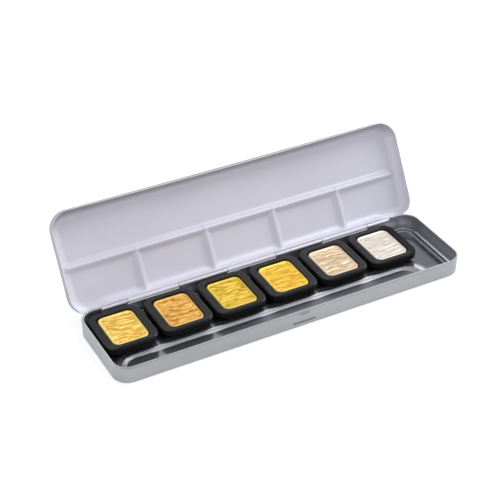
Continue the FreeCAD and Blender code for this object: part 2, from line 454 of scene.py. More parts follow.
def pad_foam(finish):
    """Pale foam of the pads under the pans."""
    cells = finish.noise((3.0, 3.0, 3.0), 2.0)
    return {
        "Base Color": finish.mix(cells, rgb(0.7, 0.7, 0.66), rgb(0.84, 0.84, 0.8)),
        "Roughness": finish.ramp(cells, *MOST_NOISE, 0.8, 0.95),
        "Normal": finish.bump(cells, 0.3, 0.05),
    }


def pearl_paint(deep, mid, pale):
    """Pressed pearl paint with fine flakes: painted highlight on its crests and its rim, painted shade in
    its furrows.
    """
    def make(finish):
        cloud = finish.ramp(finish.noise((0.1, 0.16, 0.16), 2.0), *MOST_NOISE)
        flakes = finish.noise((9.0, 9.0, 9.0), 2.0)
        # Painted highlight on the crests and rim, painted shade in the furrows
        crest = finish.carried("crest") * 0.7
        body = finish.mix(finish.ramp(crest + cloud * 0.22, 0.12, 0.62), rgb(*deep), rgb(*mid))
        light = finish.ramp(crest + flakes * 0.2 + cloud * 0.1, 0.48, 0.9, 0.0, 0.85)
        return {
            "Base Color": finish.mix(light, body, rgb(*pale)),
            "Roughness": finish.ramp(flakes, *MOST_NOISE, 0.34, 0.5),
            "Normal": finish.bump(flakes, 0.25, 0.04),
        }
    return make


tin_outside = finish_of("tin_satin", satin_tin, {"Metallic": 0.85})
tin_rim = finish_of("tin_rim", rim_tin, {"Metallic": 0.85})
tin_inside = finish_of("tin_bright", bright_tin, {"Metallic": 0.88})
tin_rolled = finish_of("tin_rolled", rolled_tin, {"Metallic": 0.85})
enamel = finish_of("lid_white_enamel", white_enamel,
                   {"Specular IOR Level": 0.45, "Coat Weight": 0.35, "Coat Roughness": 0.12})
plastic = finish_of("pan_black_plastic", black_plastic,
                    {"Specular IOR Level": 0.05, "Coat Roughness": 0.25})
foam = finish_of("pad_foam", pad_foam, {})
paints = (
    ("warm_gold", (0.66, 0.335, 0.029), (0.94, 0.6, 0.097), (1.0, 0.82, 0.31)),
    ("orange_gold", (0.48, 0.195, 0.017), (0.755, 0.387, 0.057), (0.88, 0.585, 0.19)),
    ("lemon_gold", (0.47, 0.29, 0.006), (0.755, 0.49, 0.025), (0.86, 0.645, 0.12)),
    ("golden_yellow", (0.73, 0.37, 0.009), (0.93, 0.58, 0.043), (0.98, 0.72, 0.15)),
    ("champagne", (0.53, 0.36, 0.205), (0.715, 0.54, 0.345), (0.83, 0.7, 0.53)),
    ("silver_pearl", (0.65, 0.595, 0.525), (0.74, 0.67, 0.585), (0.81, 0.755, 0.685)),
)
paint_finishes = [finish_of("paint_" + name, pearl_paint(deep, mid, pale), {"Metallic": 0.4})
                  for name, deep, mid, pale in paints]


# Grids and meshes
def graded(marks, end):
    """Places from mark to mark and on to the end, spaced in each stretch as its mark says."""
    stops = [place for place, _ in marks[1:]] + [end]
    places = []
    for (low, spacing), high in zip(marks, stops):
        count = max(1, round((high - low) / spacing))
        places += [low + (high - low) * index / count for index in range(count)]
    return places + [end]


def merged(places, nearest):
    """Sorted places without those that lie nearer than that to the one before."""
    kept = []
    for place in sorted(places):
        if not kept or place - kept[-1] > nearest:
            kept.append(place)
    return kept


def corner_rows(half_y, corner, count, middle):
    """Rows over a plan with round corners, closer together towards its two ends."""
    straight = half_y - corner
    ends = [straight + corner * math.sin(QUARTER * index / count) for index in range(1, count + 1)]
    inside = [place for place in middle if abs(place) < straight - ROW_GAP]
    return [-place for place in reversed(ends)] + [-straight] + inside + [straight] + ends


def between(start, end, count):
    """That many places between start and end, without the two."""
    return np.linspace(start, end, count + 2)[1:-1]


class Plan:
    """Grid over a rectangle with round corners, with the loop and the outward directions of its edge."""

    def __init__(self, half_x, half_y, corner, columns, rows):
        rows = np.array(rows)
        columns = np.array(columns)
        over = np.clip(np.abs(rows) - (half_y - corner), 0, corner)
        reach = half_x - corner + np.sqrt(np.maximum(corner ** 2 - over ** 2, 0))
        self.x = columns[None, :] * reach[:, None]
        self.y = np.repeat(rows[:, None], len(columns), 1)
        high, wide = self.x.shape
        index = np.arange(high * wide).reshape(high, wide)
        self.index = index
        self.loop = np.concatenate([index[0, :], index[1:, -1], index[-1, -2::-1], index[-2:0:-1, 0]])
        self.edge_x = self.x.ravel()[self.loop]
        self.edge_y = self.y.ravel()[self.loop]
        self.low_side = self.edge_y < -half_y + SAME_PLACE
        self.high_side = self.edge_y > half_y - SAME_PLACE
        lean_y = np.sign(self.edge_y) * np.clip(np.abs(self.edge_y) - (half_y - corner), 0, None) / corner
        lean_x = np.sqrt(np.clip(1 - lean_y ** 2, 0, 1)) * np.sign(self.edge_x)
        lean_x[self.low_side | self.high_side] = 0
        self.lean = np.stack([lean_x, lean_y], 1)

    def band(self, number):
        """Points of the ring of that number in a closed sheet on this plan."""
        begin = self.x.size + number * len(self.loop)
        return slice(begin, begin + len(self.loop))


def closed_sheet(name, plan, rings, top, under, splits, finishes):
    """Mesh with a top grid, rings of (reach, level) round its edge, and a grid underneath."""
    size = plan.x.size
    ring_count, loop_count = len(rings), len(plan.loop)
    grids = [np.stack([plan.x.ravel(), plan.y.ravel(), level.ravel()], 1) for level in (top, under)]
    bands = []
    lean_x, lean_y = plan.lean.T
    for reach, level in rings:
        level = np.broadcast_to(level, plan.edge_x.shape)
        bands.append(np.stack([plan.edge_x + lean_x * reach, plan.edge_y + lean_y * reach, level], 1))
    points = np.concatenate([grids[0]] + bands + [grids[1]]) * MM
    index = plan.index
    up = np.stack([index[:-1, :-1], index[:-1, 1:], index[1:, 1:], index[1:, :-1]], -1).reshape(-1, 4)
    last = size + ring_count * loop_count
    down = up[:, ::-1] + last
    loops = [plan.loop]
    loops += [size + band * loop_count + np.arange(loop_count) for band in range(ring_count)]
    loops.append(plan.loop + last)
    faces = [up]
    slots = [np.zeros(len(up), int)]
    for band, (near, far) in enumerate(zip(loops, loops[1:])):
        faces.append(np.stack([near, far, np.roll(far, -1), np.roll(near, -1)], 1))
        slots.append(np.full(loop_count, sum(band >= split for split in splits)))
    faces.append(down)
    slots.append(np.full(len(down), len(splits)))
    mesh = bpy.data.meshes.new(name)
    mesh.from_pydata(points.tolist(), [], np.concatenate(faces).tolist())
    for finish in finishes:
        mesh.materials.append(finish)
    mesh.polygons.foreach_set("material_index", np.concatenate(slots))
    mesh.update()
    return mesh


def carry(mesh, name, values):
    """Gives the points of the mesh values that finishes and node trees read by that name."""
    mesh.attributes.new(name, "FLOAT", "POINT").data.foreach_set("value", values)


def smooth(mesh, degrees):
    """Smooth shading, broken where faces meet at more than that angle."""
    mesh.polygons.foreach_set("use_smooth", np.ones(len(mesh.polygons), bool))
    mesh.set_sharp_from_angle(angle=math.radians(degrees))


def placed(name, data):
    """New object in the scene."""
    made = bpy.data.objects.new(name, data)
    bpy.context.scene.collection.objects.link(made)
    return made


def piece(name, mesh, body, slot, *nodes):
    """Visible piece that moves with a body and takes the place of these nodes."""
    made = placed(name, mesh)
    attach(made, body)
    if nodes:
        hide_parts(*nodes)


def step(value, low, high):
    """Smooth passage from 0 to 1 while the value goes from low to high."""
    share = np.clip((value - low) / (high - low), 0, 1)
    return share * share * (3 - 2 * share)


def round_box(x, y, centre, half, corner):
    """Distance from the edge of a rectangle with round corners, negative inside it."""
    over_x = np.abs(x - centre[0]) - half[0] + corner
    over_y = np.abs(y - centre[1]) - half[1] + corner
    outside = np.hypot(np.maximum(over_x, 0), np.maximum(over_y, 0))
    return outside + np.minimum(np.maximum(over_x, over_y), 0) - corner


# Hinge edges of the two sheets
def knuckle_spans():
    """Start and end of each knuckle along the hinge, the base's and the lid's in turn."""
    inner = (HINGE_HALF - END_KNUCKLE) * 2 / INNER_KNUCKLES
    marks = [-HINGE_HALF + END_KNUCKLE + index * inner for index in range(INNER_KNUCKLES + 1)]
    marks = [-HINGE_HALF] + marks + [HINGE_HALF]
    return [(low + KNUCKLE_GAP / 2, high - KNUCKLE_GAP / 2) for low, high in zip(marks, marks[1:])]


knuckles = knuckle_spans()


def hinge_edge(x, own_level, other_level, plain_level, first):
    """Level of a sheet's edge along the hinge: one for its own knuckles, one for the others."""
    level = np.where(np.abs(x) < HINGE_HALF, other_level, plain_level)
    for low, high in knuckles[first::2]:
        level = np.where((x > low) & (x < high), own_level, level)
    return level


def hinge_columns(reach):
    """Pairs of columns at each change of the hinge's edge, as shares of the reach."""
    changes = [edge for span in knuckles for edge in span] + [-HINGE_HALF, HINGE_HALF]
    return [(edge + side) / reach for edge in changes for side in (-COLUMN_GAP, COLUMN_GAP)]


# Base tray
def bay_edge(x, y):
    """Distance from the middle of the bay's slope, negative inside the bay."""
    far = BASE_HALF[1] * 2
    centre = (sum(BAY_ENDS) / 2, (BAY_BACK - far) / 2)
    half = ((BAY_ENDS[1] - BAY_ENDS[0]) / 2, (BAY_BACK + far) / 2)
    return round_box(x, y, centre, half, BAY_CORNER)


def plateau_edge(x, y):
    """Distance from the middle of the plateau's outer slope, negative on the plateau."""
    half = tuple(side - PLATEAU_INSET for side in BASE_HALF)
    return round_box(x, y, (0, 0), half, BASE_CORNER - PLATEAU_INSET)


def tray_floor(x, y):
    """Level of the floor's upper face."""
    plateau = plateau_edge(x, y)
    above = step(bay_edge(x, y), -BAY_SOFT, BAY_SOFT)
    rise = step(-plateau, -PLATEAU_SOFT, PLATEAU_SOFT) * above
    lip = LIP * np.exp(-((plateau + LIP_INSET - PLATEAU_INSET) / LIP_WIDTH) ** 2) * above
    return SHEET + PLATEAU_RISE * rise + lip


def plateau_edge_line(x, y):
    """How much a place belongs to the line along the plateau's outer edge, which takes a painted highlight
    and roughness.
    """
    return np.exp(-((plateau_edge(x, y) + EDGE_INSET) / EDGE_WIDTH) ** 2)


def on_bay_slope(bay):
    """How much a place belongs to the bay's slope, by its distance from it."""
    return step(BAY_SOFT + SLOPE_OVERLAP - np.abs(bay), 0, BAY_FADE)


def on_bay_floor(bay):
    """How much a place belongs to the bay's floor, by its distance from the slope."""
    return step(-bay, BAY_SOFT, BAY_SOFT + BAY_FADE)


def tray_reflection(x, y):
    """Painted reflection and burnished brightness of the floor: its outer edge, the bay's slope, its
    floor, dimmed towards the bay's right, and its margin.
    """
    bay = bay_edge(x, y)
    # Painted reflection: the bay's floor dimmed towards its right, its margin and the plateau's edge line
    # painted bright
    right_dimming = (FLOOR_REFLECTION - DIMMED_FLOOR_REFLECTION) * step(x, *BAY_SCUFF_AND_DIMMING)
    slope = SLOPE_REFLECTION * on_bay_slope(bay)
    floor = (FLOOR_REFLECTION - right_dimming) * on_bay_floor(bay)
    beside = step(bay, BAY_SOFT, BAY_SOFT + BAY_FADE) * step(MARGIN_REACH - bay, 0, MARGIN_FADE)
    edge = plateau_edge_line(x, y) * step(bay, 0, EDGE_FADE)
    return np.max([slope, floor, MARGIN_REFLECTION * beside, edge], axis=0)


def tray_wear(x, y):
    """How rough the floor is: on the bay's slope, along its outer edge and where the bay is worn towards
    its right.
    """
    bay = bay_edge(x, y)
    slope = SLOPE_WEAR * on_bay_slope(bay)
    floor = SCUFFED_WEAR * step(x, *BAY_SCUFF_AND_DIMMING) * on_bay_floor(bay)
    return np.max([slope, floor, EDGE_WEAR * plateau_edge_line(x, y)], axis=0)


def front_press(x, z):
    """How far the catch stands out of the front wall, and the slot and detent go into it."""
    away = np.abs(x - CATCH_X)
    lip = np.clip((CATCH_TOP - z) / (CATCH_TOP - CATCH_LEDGE - CATCH_LIP), 0, 1) * (z > CATCH_LEDGE)
    slot = np.clip((z - SLOT_FOOT) / SLOT_RUN, 0, 1) * (z <= CATCH_LEDGE)
    ends = np.clip((CATCH_WIDTH / 2 - away) / CATCH_END, 0, 1)
    slot_ends = np.clip((CATCH_WIDTH / 2 - away) / SLOT_END, 0, 1)
    low, high = DETENT_LEVELS
    pocket = np.minimum(np.minimum(z - low, high - z), DETENT_WIDTH / 2 - away) / DETENT_RUN
    return CATCH_PROUD * lip * ends - SLOT_DEPTH * slot * slot_ends - DETENT_DEPTH * np.clip(pocket, 0, 1)


def base_plan():
    """Grid of the tray's floor, finer at the ends, at the front, at the catch and at the knuckles."""
    half_x, half_y = (side - BASE_FOOT for side in BASE_HALF)
    corner = BASE_CORNER - BASE_FOOT
    near = half_x - corner
    marks = ((-half_x, BASE_END_SPACING), *BASE_COLUMNS)
    columns = [place / half_x for place in graded(marks, half_x)]
    catch = (CATCH_X - CATCH_WIDTH / 2 - CATCH_SPACING, CATCH_X + CATCH_WIDTH / 2 + CATCH_SPACING)
    columns += [place / near for place in graded(((catch[0], CATCH_SPACING),), catch[1])]
    columns = merged(columns + hinge_columns(near), COLUMN_SHARE_GAP)
    middle = graded(((-half_y, BASE_FRONT_SPACING), BASE_BACK_ROWS), half_y)
    return Plan(half_x, half_y, corner, columns, corner_rows(half_y, corner, CORNER_ROWS, middle))


def base_rings(plan):
    """Rings up the tray's inside, over its rolled rim and down its outside, and where the rim lies."""
    hinged = plan.high_side & (np.abs(plan.edge_x) < HINGE_HALF)
    under_barrel = AXIS[1] - BARREL
    edge = hinge_edge(plan.edge_x, under_barrel + BASE_LAP, under_barrel - BASE_SWING, BASE_HEIGHT, 0)
    edge = edge - SHEET / 2
    bead_in = BASE_FOOT - BEAD + BEAD_PROUD
    bead_z = BASE_HEIGHT - BEAD
    inner, outer = BASE_FOOT - SHEET, BASE_FOOT
    start = math.atan2(-math.sqrt(BEAD ** 2 - (inner - bead_in) ** 2), inner - bead_in)
    stop = math.atan2(-math.sqrt(BEAD ** 2 - (outer - bead_in) ** 2), outer - bead_in) - 2 * math.pi
    low_in = bead_z + BEAD * math.sin(start)
    low_out = bead_z + BEAD * math.sin(stop)

    def wall(reach, level, top):
        """Ring of the wall, pressed at the front and lowered under the hinge at the back."""
        share = (edge - BACK_KNEE) / (top - BACK_KNEE)
        lowered = np.where(level > BACK_KNEE, BACK_KNEE + (level - BACK_KNEE) * share, level)
        z = np.where(hinged, lowered, level)
        return reach + plan.low_side * front_press(plan.edge_x, z), z

    low, high = DETENT_LEVELS
    catch_levels = (SLOT_FOOT, SLOT_FOOT + SLOT_RUN, CATCH_LEDGE - CATCH_LEDGE_RUN,
                    CATCH_LEDGE + CATCH_LEDGE_RUN, CATCH_LEDGE + CATCH_LIP, CATCH_TOP)
    detent_levels = (low, low + DETENT_RUN, (low + high) / 2, high - DETENT_RUN, high)
    levels = sorted(WALL_LEVELS + catch_levels + detent_levels)
    foot_turns = between(0, QUARTER, FOOT_RINGS)
    rings = [(inner * math.sin(turn), SHEET + inner * (1 - math.cos(turn))) for turn in foot_turns]
    rings += [wall(inner, level, low_in) for level in levels + [low_in]]
    bead_start = len(rings)
    for turn, bend in zip(between(start, stop, BEAD_RINGS), between(math.pi, 0, BEAD_RINGS)):
        cut_reach = outer - SHEET / 2 + SHEET / 2 * math.cos(bend)
        cut_level = edge + SHEET / 2 * math.sin(bend)
        rings.append((np.where(hinged, cut_reach, bead_in + BEAD * math.cos(turn)),
                      np.where(hinged, cut_level, bead_z + BEAD * math.sin(turn))))
    bead_end = len(rings)
    rings += [wall(outer, level, low_out) for level in [low_out] + levels[::-1]]
    rings += [(outer * math.cos(turn), outer - outer * math.sin(turn)) for turn in foot_turns]
    return rings, (bead_start, bead_end)


def finish_base(mesh, plan, rings, bead):
    """Gives the tray's points their shares of burnished tin and painted reflection, wear, painted light
    and painted shade.
    """
    # The wall's foot takes painted reflection, bright at the front and dim at the back
    foot_reflection = np.where(plan.edge_y > BACK_FOOT_FROM, BACK_FOOT_REFLECTION, FOOT_REFLECTION)
    for name, wall_share, floor_share, foot_share in (
            ("burnish_and_reflection", WALL_REFLECTION, tray_reflection(plan.x, plan.y), foot_reflection),
            ("worn", WALL_WEAR, tray_wear(plan.x, plan.y), FOOT_WEAR)):
        shares = np.full(len(mesh.vertices), wall_share)
        shares[:plan.x.size] = floor_share.ravel()
        for band in range(FOOT_RINGS):
            shares[plan.band(band)] = foot_share
        carry(mesh, name, shares)
    bead_start, bead_end = bead
    # Painted light: the rim brighter towards the left end, with a painted highlight line along it
    left_end = np.clip(-plan.lean[:, 0], 0, 1) ** LEFT_LIGHT_FALL
    painted_left_light = np.zeros(len(mesh.vertices))
    painted_recess_shade = np.zeros(len(mesh.vertices))
    for band in range(bead_start, bead_end):
        line = math.exp(-((band - bead_start - RIM_LINE_RING) / RIM_LINE_WIDTH) ** 2)
        painted_left_light[plan.band(band)] = left_end * (RIM_LEFT_LIGHT + RIM_HIGHLIGHT_LINE * line)
    for band in range(bead_end, len(rings)):
        level = rings[band][1]
        # Painted shade in the slot and detent, growing with how deep the wall is pressed in
        depth = np.clip(-front_press(plan.edge_x, level) / FULL_SHADE_DEPTH, 0, 1)
        shade = np.where(level > CATCH_TOP, DETENT_SHADE, SLOT_SHADE)
        # Painted light towards the left end of the outer wall
        painted_left_light[plan.band(band)] = left_end * WALL_LEFT_LIGHT
        painted_recess_shade[plan.band(band)] = plan.low_side * depth * shade
    carry(mesh, "painted_left_light", painted_left_light)
    carry(mesh, "painted_recess_shade", painted_recess_shade)


def make_base():
    plan = base_plan()
    rings, bead = base_rings(plan)
    floor = tray_floor(plan.x, plan.y)
    mesh = closed_sheet("base_shell", plan, rings, floor, floor - SHEET, bead,
                        [tin_inside, tin_rim, tin_outside])
    finish_base(mesh, plan, rings, bead)
    smooth(mesh, degrees=50)
    piece("base_shell", mesh, "base", "tinplate", "base_tray")


# Lid, laid out upside down from its closed top and then turned open
def ridge_rise(distance):
    """Height of a pressed ridge at that distance from its crest line: a rounded roof."""
    def area(t):
        t = np.clip(t, -RIDGE_HALF, RIDGE_HALF)
        return t - np.sign(t) * t * t / (2 * RIDGE_HALF)
    return RIDGE_RISE * (area(distance + RIDGE_SOFT) - area(distance - RIDGE_SOFT)) / (2 * RIDGE_SOFT)


def lid_ridges(x, y):
    """Height of the pressed ridges over the lid's floor."""
    def away(start, end):
        along = np.subtract(end, start)
        share = np.clip(((x - start[0]) * along[0] + (y - start[1]) * along[1]) / (along @ along), 0, 1)
        return np.hypot(x - start[0] - share * along[0], y - start[1] - share * along[1])
    rises = [ridge_rise(away((-RIDGE_END, RIDGE_Y), (RIDGE_END, RIDGE_Y)))]
    rises += [ridge_rise(away((place, RIDGE_Y), (place, RIDGE_BACK))) for place in RIDGE_X]
    return sum(np.maximum(rise, 0) ** RIDGE_MEET for rise in rises) ** (1 / RIDGE_MEET)


def over(level, rise):
    """Level of a form with the ridges standing out of it."""
    return (np.maximum(level, 0) ** RIDGE_BLEND + rise ** RIDGE_BLEND) ** (1 / RIDGE_BLEND)


def lid_plan():
    """Grid of the lid's floor, finer at the ends, at the ridges and at the knuckles."""
    half_x, half_y = (side - LID_RUN for side in LID_HALF)
    corner = LID_CORNER - LID_RUN
    marks = [(-half_x, LID_END_SPACING), (-LID_END_FROM, LID_SPACING)]
    for place in RIDGE_X:
        marks += [(place - RIDGE_ZONE, RIDGE_SPACING), (place + RIDGE_ZONE, LID_SPACING)]
    marks.append((LID_END_FROM, LID_END_SPACING))
    columns = [place / half_x for place in graded(marks, half_x)]
    columns = merged(columns + hinge_columns(half_x - corner), COLUMN_SHARE_GAP)
    crest = LID_MID - RIDGE_Y
    marks = ((-half_y, LID_BACK_SPACING), LID_WELL_ROWS,
             (crest - LONG_RIDGE_ZONE, LONG_RIDGE_SPACING), (crest + LONG_RIDGE_ZONE, LID_FRONT_SPACING))
    middle = graded(marks, half_y)
    return Plan(half_x, half_y, corner, columns, corner_rows(half_y, corner, CORNER_ROWS, middle))


def lid_rim(plan, edge_y):
    """Height of the lid's edge over its closed top, all round."""
    low, high = LID_TRIM
    front_edge = LID_TOP - LID_DEPTH
    level = front_edge + (LID_BACK_EDGE - front_edge) * np.clip((edge_y - low) / (high - low), 0, 1)
    over_barrel = AXIS[1] + BARREL + LID_SWING
    skirt = hinge_edge(plan.edge_x, AXIS[1] + LID_LAP, over_barrel, LID_BACK_EDGE, 1)
    return LID_TOP - np.where(plan.low_side, skirt, level)


def lid_rings(plan, trimmed, rim):
    """Rings up the lid's inside, over its hem and down its outside, and the numbers of the inner ones."""
    edge_x = plan.edge_x
    lean_x, lean_y = plan.lean.T
    inner, outer = LID_RUN - SHEET, LID_RUN
    hem = HEM + (SHEET - HEM) * trimmed
    fold = rim - (HEM_HEIGHT * (1 - trimmed) + TRIMMED_FOLD * trimmed)
    near = LID_HALF[0] - LID_CORNER
    bow = LID_BOW * np.clip(1 - (edge_x / near) ** 2, 0, 1) * plan.high_side
    rings = []

    def ring(reach, level, gaps=0):
        """Adds a ring that stays that many ring gaps under the hem's turn."""
        level = np.minimum(level, rim - hem / 2 - RING_GAP * gaps)
        rings.append((reach - bow * level / LID_DEPTH, level))

    def ridged(reach, level):
        return over(level, lid_ridges(edge_x + lean_x * reach, LID_MID - plan.edge_y - lean_y * reach))

    at_hinge = np.clip(-lean_y, 0, 1) ** 2 * step(HINGE_HALF - np.abs(edge_x), 0, LID_LEDGE_FADE)
    slope = inner - LID_LEDGE * at_hinge
    middle, high = (LID_ROUND + (fold - LID_ROUND) * share for share in LID_WALL_SHARES)
    to_hem = (
        ((slope + inner) / 2, LID_ROUND),
        (inner, middle),
        (inner, high),
        (inner + FOLD_STAND * (1 - trimmed), fold),
        (outer - hem + HEM_EASE[0], fold + HEM_EASE[1]),
        (outer - hem, fold + HEM_EDGE),
        (outer - hem, rim - hem / 2),
    )
    for turn in np.linspace(0, QUARTER, SLOPE_RINGS + 1)[1:]:
        reach = slope * math.sin(turn) ** LID_INSIDE_CURVE
        rise = 1 - max(math.cos(turn), 0) ** LID_INSIDE_CURVE
        ring(reach, SHEET + ridged(reach, (LID_ROUND - SHEET) * rise), len(to_hem))
    for number, (reach, level) in enumerate(to_hem, 1):
        ring(reach, level, len(to_hem) - number)
    inside = range(len(rings))
    for turn in between(math.pi, 0, HEM_RINGS):
        rings.append((outer - hem / 2 + hem / 2 * math.cos(turn) - bow * rim / LID_DEPTH,
                      rim - hem / 2 + hem / 2 * math.sin(turn)))
    ring(outer, rim - hem / 2)
    for turn in np.linspace(0, QUARTER, SLOPE_RINGS + 1)[:-1]:
        reach = outer * math.cos(turn) ** LID_OUTSIDE_CURVE
        ring(reach, ridged(reach, LID_ROUND * (1 - math.sin(turn) ** LID_OUTSIDE_CURVE)), 1)
    return rings, inside


def finish_lid(mesh, plan, rings, inside, trimmed):
    """Gives the lid's points their shares of painted shade under the hem and at the fold, and of painted
    light on the end walls.
    """
    lean_x, lean_y = plan.lean.T
    # Two rings lie at the fold, and the two after them lead up to the hem's turn
    fold_bands = inside[-4:-2]
    start = np.where(plan.edge_x < 0, END_LIGHT_FROM_LEFT, END_LIGHT_FROM_RIGHT)
    painted_hem_shade = np.zeros(len(mesh.vertices))
    painted_end_light = np.zeros(len(mesh.vertices))
    for band in inside:
        share = rings[band][0] / (LID_RUN - SHEET)
        # Painted shade: a dark line at the fold, and darker up the slope towards the hem along the free
        # edge
        fold_line = FOLD_SHADE * (1 - trimmed) * (band in fold_bands)
        under_hem = np.clip((share - HEM_SHADE_FROM) / HEM_SHADE_RUN, 0, 1) * np.clip(lean_y, 0, 1)
        painted_hem_shade[plan.band(band)] = np.maximum(HEM_SHADE * under_hem, fold_line)
        # Painted light on the end walls, from its start up the slope
        painted_end_light[plan.band(band)] = step(share, start, start + END_LIGHT_RUN) * np.abs(lean_x)
    carry(mesh, "painted_hem_shade", painted_hem_shade)
    carry(mesh, "painted_end_light", painted_end_light)


def make_lid():
    plan = lid_plan()
    edge_y = LID_MID - plan.edge_y - plan.lean[:, 1] * LID_RUN
    trimmed = step(edge_y, *LID_TRIM)
    rings, inside = lid_rings(plan, trimmed, lid_rim(plan, edge_y))
    floor = lid_ridges(plan.x, LID_MID - plan.y)
    mesh = closed_sheet("lid_pressing", plan, rings, floor + SHEET, floor, (len(inside) + HEM_ENAMELLED,),
                        [enamel, tin_outside])
    finish_lid(mesh, plan, rings, inside, trimmed)
    turned = Matrix.Rotation(math.pi, 4, "X")
    closed = Matrix.Translation(Vector((0, LID_MID * MM, LID_TOP * MM))) @ turned
    pivot = Matrix.Translation(Vector((0, AXIS[0] * MM, AXIS[1] * MM)))
    opened = pivot @ Matrix.Rotation(math.radians(-LID_OPEN), 4, "X") @ pivot.inverted()
    mesh.transform(opened @ closed)
    smooth(mesh, degrees=50)
    piece("lid_pressing", mesh, "lid", "lid_enamel", "lid_shell")


# Geometry node trees
class Tree(Finish):
    """A geometry tree with named inputs."""

    def __init__(self, name, sizes):
        super().__init__(bpy.data.node_groups.new(name, "GeometryNodeTree"))
        face = self.tree.interface
        face.new_socket("Geometry", in_out="INPUT", socket_type="NodeSocketGeometry")
        face.new_socket("Material", in_out="INPUT", socket_type="NodeSocketMaterial")
        for size in sizes:
            face.new_socket(size, in_out="INPUT", socket_type="NodeSocketFloat")
        face.new_socket("Geometry", in_out="OUTPUT", socket_type="NodeSocketGeometry")
        self.given = self.node("NodeGroupInput").socket.node

    def input(self, name):
        return Value(self, self.given.outputs[name])

    def carried(self, name):
        """What the points of the mesh carry under that name."""
        return self.node("GeometryNodeInputNamedAttribute", {"data_type": "FLOAT"}, {"Name": name})

    def end(self, geometry):
        """Ends the tree with this geometry, in the material that was given."""
        plain = self.node("GeometryNodeRealizeInstances", None, {"Geometry": geometry})
        painted = self.node("GeometryNodeSetMaterial", None,
                            {"Geometry": plain, "Material": self.input("Material")})
        self.node("NodeGroupOutput", None, {"Geometry": painted})

    def run(self, mesh, values):
        """Mesh that the tree makes of this one, with these values on its named inputs."""
        holder = placed("holder", mesh)
        modifier = holder.modifiers.new("tree", "NODES")
        modifier.node_group = self.tree
        for item in self.tree.interface.items_tree:
            if item.in_out == "INPUT" and item.name in values:
                modifier[item.identifier] = values[item.name]
        bpy.context.view_layer.update()
        made = bpy.data.meshes.new_from_object(holder.evaluated_get(bpy.context.evaluated_depsgraph_get()))
        holder.modifiers.remove(modifier)
        bpy.data.objects.remove(holder)
        return made


def knuckle_tree():
    """One rolled tube on each point, as long as the point's own length says."""
    tree = Tree("rolled_knuckles", ("Barrel radius", "Wall"))
    wall = tree.input("Wall")
    radius = tree.input("Barrel radius") - wall * 0.5
    ring = tree.node("GeometryNodeCurvePrimitiveCircle", {"mode": "RADIUS"},
                     {"Resolution": KNUCKLE_SIDES, "Radius": radius}, "Curve")
    section = tree.node("GeometryNodeCurvePrimitiveQuadrilateral", {"mode": "RECTANGLE"},
                        {"Width": wall, "Height": 1.0}, "Curve")
    tube = tree.node("GeometryNodeCurveToMesh", None, {"Curve": ring, "Profile Curve": section}, "Mesh")
    laid = tree.node("GeometryNodeTransform", None, {"Geometry": tube, "Rotation": (0, QUARTER, 0)})
    scale = tree.node("ShaderNodeCombineXYZ", None, {"X": tree.carried("length"), "Y": 1.0, "Z": 1.0})
    tree.end(tree.node("GeometryNodeInstanceOnPoints", None,
                       {"Points": tree.input("Geometry"), "Instance": laid, "Scale": scale}))
    return tree


def make_knuckles():
    tree = knuckle_tree()
    for name, body, first, slot, finish in (("base_knuckles", "base", 0, "tinplate", tin_rolled),
                                            ("lid_knuckles", "lid", 1, "lid_enamel", enamel)):
        own = knuckles[first::2]
        middles = [((low + high) / 2 * MM, AXIS[0] * MM, AXIS[1] * MM) for low, high in own]
        points = bpy.data.meshes.new(name + "_points")
        points.from_pydata(middles, [], [])
        carry(points, "length", [(high - low) * MM for low, high in own])
        mesh = tree.run(points, {"Barrel radius": BARREL * MM, "Wall": SHEET * MM, "Material": finish})
        smooth(mesh, degrees=40)
        piece(name, mesh, body, slot)


def cake_tree():
    """Wavy furrows over the top of a pressed cake, dying away at its rim."""
    tree = Tree("cake_furrows", ("Pitch", "Depth", "Warp", "Lean", "Crumple", "Shift"))
    position = tree.node("GeometryNodeInputPosition")
    x, y = tree.outputs("ShaderNodeSeparateXYZ", "XY", {"Vector": position})
    inside = tree.carried("inside")
    pitch = tree.input("Pitch")
    shift = tree.input("Shift")

    def noise(across, along, offset):
        """Noise with that many grains to a metre, about 0."""
        spot = tree.node("ShaderNodeCombineXYZ", None,
                         {"X": x * across, "Y": y * along, "Z": shift + offset})
        return tree.node("ShaderNodeTexNoise", {"noise_dimensions": "3D"},
                         {"Vector": spot, "Scale": 1.0, "Detail": 1.0}) - 0.5

    def folds(pitch, warp):
        """Round-backed folds with sharp furrows between them, about 0."""
        phase = (y + x * tree.input("Lean")) * pitch + shift + warp
        wave = tree.node("ShaderNodeMath", {"operation": "SINE"}, {0: phase * math.pi})
        return tree.node("ShaderNodeMath", {"operation": "ABSOLUTE"}, {0: wave}) - FURROW_MEAN

    warp = noise(60.0, 90.0, 0.0) * tree.input("Warp") + noise(170.0, 200.0, 5.0) * 0.9
    wide = folds(pitch, warp)
    fine = folds(pitch * 2.1, warp * 1.6)
    size = noise(100.0, 180.0, 13.0) * 2.4 + 0.8
    crumple = noise(250.0, 520.0, 21.0) * tree.input("Crumple")
    height = (wide * size * 0.85 + fine * (0.8 - size * 0.5) * 0.4 + crumple) * inside
    lift = tree.node("ShaderNodeCombineXYZ", None, {"X": 0.0, "Y": 0.0, "Z": height * tree.input("Depth")})
    moved = tree.node("GeometryNodeSetPosition", None,
                      {"Geometry": tree.input("Geometry"), "Offset": lift})
    # Crest values: high on the folds and the rim for painted highlight, low in the furrows for painted
    # shade
    crest = height * 0.95 + 0.52 + (1.0 - inside) * 0.4
    tree.end(tree.node("GeometryNodeStoreNamedAttribute", {"data_type": "FLOAT", "domain": "POINT"},
                       {"Geometry": moved, "Name": "crest", "Value": crest}))
    return tree


